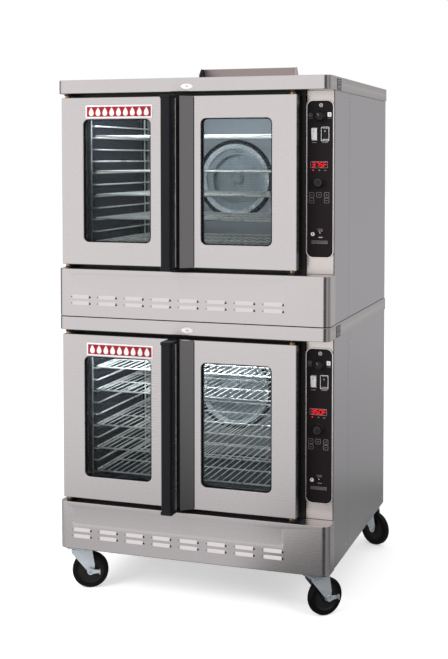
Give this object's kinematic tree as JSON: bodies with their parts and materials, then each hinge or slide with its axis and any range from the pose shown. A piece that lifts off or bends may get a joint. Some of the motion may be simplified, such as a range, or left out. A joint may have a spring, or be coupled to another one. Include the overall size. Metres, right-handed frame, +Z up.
{
  "type": "deck oven",
  "caption": "Double-stacked stainless bakery oven on casters, with paired glass doors, wire racks, side controls and a flue hood.",
  "frame": {"origin": "middle of the oven's bounding box, at the floor under the wheels", "axes": "+X to the right seen from the front, the doors face -Y, +Z up"},
  "size_m": [1.0458, 0.996, 1.865],
  "materials": {
    "front_steel": "vertically brushed stainless sheet, satin",
    "side_steel": "satin stainless side and back sheet",
    "hood_steel": "dull aluminised sheet",
    "cavity_steel": "bright cavity sheet with a dark front frame",
    "wire": "bright nickel-plated wire",
    "zinc": "zinc-plated pressed steel",
    "panel_black": "printed black membrane, semi-gloss",
    "black_plastic": "moulded black plastic",
    "handle_black": "black grip with a soft sheen",
    "white_plastic": "white switch plastic",
    "tread_rubber": "black caster tread",
    "door_glass": "clear double glazing"
  },
  "bodies": {
    "oven": {"lower_top_cap": "front_steel", "lower_cabinet": "side_steel", "lower_control_housing": "front_steel", "lower_louvre_panel": "front_steel", "lower_oven_liner": "cavity_steel", "lower_rack_guide_left": "wire", "lower_rack_guide_right": "wire", "lower_control_panel": "panel_black", "upper_top_cap": "front_steel", "upper_cabinet": "side_steel", "upper_control_housing": "front_steel", "upper_louvre_panel": "front_steel", "upper_oven_liner": "cavity_steel", "upper_rack_guide_left": "wire", "upper_rack_guide_right": "wire", "upper_control_panel": "panel_black", "flue_hood": "hood_steel"},
    "lower_door_left": {"lower_door_left": "front_steel", "lower_window_left": "door_glass", "lower_door_handle": "handle_black"},
    "lower_door_right": {"lower_door_right": "front_steel", "lower_window_right": "door_glass"},
    "lower_mode_knob": {"lower_mode_knob": "black_plastic"},
    "lower_set_knob": {"lower_set_knob": "black_plastic"},
    "lower_light_switch": {"lower_light_switch": "white_plastic"},
    "lower_fan_switch": {"lower_fan_switch": "black_plastic"},
    "lower_pulse_switch": {"lower_pulse_switch": "black_plastic"},
    "lower_rack_1": {"lower_rack_1": "wire"},
    "lower_rack_2": {"lower_rack_2": "wire"},
    "lower_rack_3": {"lower_rack_3": "wire"},
    "lower_rack_4": {"lower_rack_4": "wire"},
    "lower_rack_5": {"lower_rack_5": "wire"},
    "lower_blower_wheel": {"lower_blower_wheel": "zinc"},
    "upper_door_left": {"upper_door_left": "front_steel", "upper_window_left": "door_glass", "upper_door_handle": "handle_black"},
    "upper_door_right": {"upper_door_right": "front_steel", "upper_window_right": "door_glass"},
    "upper_mode_knob": {"upper_mode_knob": "black_plastic"},
    "upper_set_knob": {"upper_set_knob": "black_plastic"},
    "upper_light_switch": {"upper_light_switch": "white_plastic"},
    "upper_fan_switch": {"upper_fan_switch": "black_plastic"},
    "upper_pulse_switch": {"upper_pulse_switch": "black_plastic"},
    "upper_rack_1": {"upper_rack_1": "wire"},
    "upper_rack_2": {"upper_rack_2": "wire"},
    "upper_rack_3": {"upper_rack_3": "wire"},
    "upper_rack_4": {"upper_rack_4": "wire"},
    "upper_rack_5": {"upper_rack_5": "wire"},
    "upper_blower_wheel": {"upper_blower_wheel": "zinc"},
    "caster_front_left": {"caster_fork_front_left": "zinc"},
    "wheel_front_left": {"caster_wheel_front_left": "tread_rubber"},
    "brake_front_left": {"brake_lever_front_left": "zinc"},
    "caster_front_right": {"caster_fork_front_right": "zinc"},
    "wheel_front_right": {"caster_wheel_front_right": "tread_rubber"},
    "brake_front_right": {"brake_lever_front_right": "zinc"},
    "caster_back_left": {"caster_fork_back_left": "zinc"},
    "wheel_back_left": {"caster_wheel_back_left": "tread_rubber"},
    "caster_back_right": {"caster_fork_back_right": "zinc"},
    "wheel_back_right": {"caster_wheel_back_right": "tread_rubber"}
  },
  "joints": [
    {"name": "lower_door_left_hinge", "type": "hinge", "parent": "oven", "child": "lower_door_left", "pos_m": [-0.452, -0.401, 0.619], "axis": [0, 0, -1], "range_deg": [0, 120]},
    {"name": "lower_door_right_hinge", "type": "hinge", "parent": "oven", "child": "lower_door_right", "pos_m": [0.357, -0.401, 0.619], "axis": [0, 0, 1], "range_deg": [0, 120]},
    {"name": "lower_mode_knob_turn", "type": "hinge", "parent": "oven", "child": "lower_mode_knob", "pos_m": [0.437, -0.349, 0.837], "axis": [0, 1, 0], "range_deg": [0, 90]},
    {"name": "lower_set_knob_turn", "type": "hinge", "parent": "oven", "child": "lower_set_knob", "pos_m": [0.432, -0.349, 0.621], "axis": [0, 1, 0], "continuous": true},
    {"name": "lower_light_switch_rock", "type": "hinge", "parent": "oven", "child": "lower_light_switch", "pos_m": [0.414, -0.34, 0.7795], "axis": [-1, 0, 0], "range_deg": [0, 12]},
    {"name": "lower_fan_switch_rock", "type": "hinge", "parent": "oven", "child": "lower_fan_switch", "pos_m": [0.451, -0.34, 0.7795], "axis": [-1, 0, 0], "range_deg": [0, 12]},
    {"name": "lower_pulse_switch_rock", "type": "hinge", "parent": "oven", "child": "lower_pulse_switch", "pos_m": [0.435, -0.34, 0.45], "axis": [-1, 0, 0], "range_deg": [0, 12]},
    {"name": "lower_rack_1_slide", "type": "slide", "parent": "oven", "child": "lower_rack_1", "axis": [0, -1, 0], "range_m": [0, 0.04]},
    {"name": "lower_rack_2_slide", "type": "slide", "parent": "oven", "child": "lower_rack_2", "axis": [0, -1, 0], "range_m": [0, 0.04]},
    {"name": "lower_rack_3_slide", "type": "slide", "parent": "oven", "child": "lower_rack_3", "axis": [0, -1, 0], "range_m": [0, 0.04]},
    {"name": "lower_rack_4_slide", "type": "slide", "parent": "oven", "child": "lower_rack_4", "axis": [0, -1, 0], "range_m": [0, 0.04]},
    {"name": "lower_rack_5_slide", "type": "slide", "parent": "oven", "child": "lower_rack_5", "axis": [0, -1, 0], "range_m": [0, 0.04]},
    {"name": "lower_blower_spin", "type": "hinge", "parent": "oven", "child": "lower_blower_wheel", "pos_m": [-0.047, 0.254, 0.619], "axis": [0, 1, 0], "continuous": true},
    {"name": "upper_door_left_hinge", "type": "hinge", "parent": "oven", "child": "upper_door_left", "pos_m": [-0.452, -0.401, 1.438], "axis": [0, 0, -1], "range_deg": [0, 120]},
    {"name": "upper_door_right_hinge", "type": "hinge", "parent": "oven", "child": "upper_door_right", "pos_m": [0.357, -0.401, 1.438], "axis": [0, 0, 1], "range_deg": [0, 120]},
    {"name": "upper_mode_knob_turn", "type": "hinge", "parent": "oven", "child": "upper_mode_knob", "pos_m": [0.437, -0.349, 1.656], "axis": [0, 1, 0], "range_deg": [0, 90]},
    {"name": "upper_set_knob_turn", "type": "hinge", "parent": "oven", "child": "upper_set_knob", "pos_m": [0.432, -0.349, 1.44], "axis": [0, 1, 0], "continuous": true},
    {"name": "upper_light_switch_rock", "type": "hinge", "parent": "oven", "child": "upper_light_switch", "pos_m": [0.414, -0.34, 1.5985], "axis": [-1, 0, 0], "range_deg": [0, 12]},
    {"name": "upper_fan_switch_rock", "type": "hinge", "parent": "oven", "child": "upper_fan_switch", "pos_m": [0.451, -0.34, 1.5985], "axis": [-1, 0, 0], "range_deg": [0, 12]},
    {"name": "upper_pulse_switch_rock", "type": "hinge", "parent": "oven", "child": "upper_pulse_switch", "pos_m": [0.435, -0.34, 1.269], "axis": [-1, 0, 0], "range_deg": [0, 12]},
    {"name": "upper_rack_1_slide", "type": "slide", "parent": "oven", "child": "upper_rack_1", "axis": [0, -1, 0], "range_m": [0, 0.04]},
    {"name": "upper_rack_2_slide", "type": "slide", "parent": "oven", "child": "upper_rack_2", "axis": [0, -1, 0], "range_m": [0, 0.04]},
    {"name": "upper_rack_3_slide", "type": "slide", "parent": "oven", "child": "upper_rack_3", "axis": [0, -1, 0], "range_m": [0, 0.04]},
    {"name": "upper_rack_4_slide", "type": "slide", "parent": "oven", "child": "upper_rack_4", "axis": [0, -1, 0], "range_m": [0, 0.04]},
    {"name": "upper_rack_5_slide", "type": "slide", "parent": "oven", "child": "upper_rack_5", "axis": [0, -1, 0], "range_m": [0, 0.04]},
    {"name": "upper_blower_spin", "type": "hinge", "parent": "oven", "child": "upper_blower_wheel", "pos_m": [-0.047, 0.254, 1.438], "axis": [0, 1, 0], "continuous": true},
    {"name": "caster_swivel_front_left", "type": "hinge", "parent": "oven", "child": "caster_front_left", "pos_m": [-0.43, -0.372, 0.1415], "axis": [0, 0, 1], "continuous": true},
    {"name": "wheel_roll_front_left", "type": "hinge", "parent": "caster_front_left", "child": "wheel_front_left", "pos_m": [-0.39556, -0.35594, 0.0635], "axis": [-0.4226, 0.9063, 0], "continuous": true},
    {"name": "brake_front_left", "type": "hinge", "parent": "caster_front_left", "child": "brake_front_left", "pos_m": [-0.39556, -0.35594, 0.0635], "axis": [-0.4226, 0.9063, 0], "range_deg": [0, 35]},
    {"name": "caster_swivel_front_right", "type": "hinge", "parent": "oven", "child": "caster_front_right", "pos_m": [0.43, -0.372, 0.1415], "axis": [0, 0, 1], "continuous": true},
    {"name": "wheel_roll_front_right", "type": "hinge", "parent": "caster_front_right", "child": "wheel_front_right", "pos_m": [0.45443, -0.34289, 0.0635], "axis": [-0.766, 0.6428, 0], "continuous": true},
    {"name": "brake_front_right", "type": "hinge", "parent": "caster_front_right", "child": "brake_front_right", "pos_m": [0.45443, -0.34289, 0.0635], "axis": [-0.766, 0.6428, 0], "range_deg": [0, 35]},
    {"name": "caster_swivel_back_left", "type": "hinge", "parent": "oven", "child": "caster_back_left", "pos_m": [-0.43, 0.454, 0.1415], "axis": [0, 0, 1], "continuous": true},
    {"name": "wheel_roll_back_left", "type": "hinge", "parent": "caster_back_left", "child": "wheel_back_left", "pos_m": [-0.46291, 0.435, 0.0635], "axis": [0.5, -0.866, 0], "continuous": true},
    {"name": "caster_swivel_back_right", "type": "hinge", "parent": "oven", "child": "caster_back_right", "pos_m": [0.43, 0.454, 0.1415], "axis": [0, 0, 1], "continuous": true},
    {"name": "wheel_roll_back_right", "type": "hinge", "parent": "caster_back_right", "child": "wheel_back_right", "pos_m": [0.46291, 0.435, 0.0635], "axis": [0.5, 0.866, 0], "continuous": true}
  ],
  "couplings": [
    {"joint": "lower_door_right_hinge", "follows": "lower_door_left_hinge", "ratio": 1},
    {"joint": "upper_door_right_hinge", "follows": "upper_door_left_hinge", "ratio": 1}
  ]
}
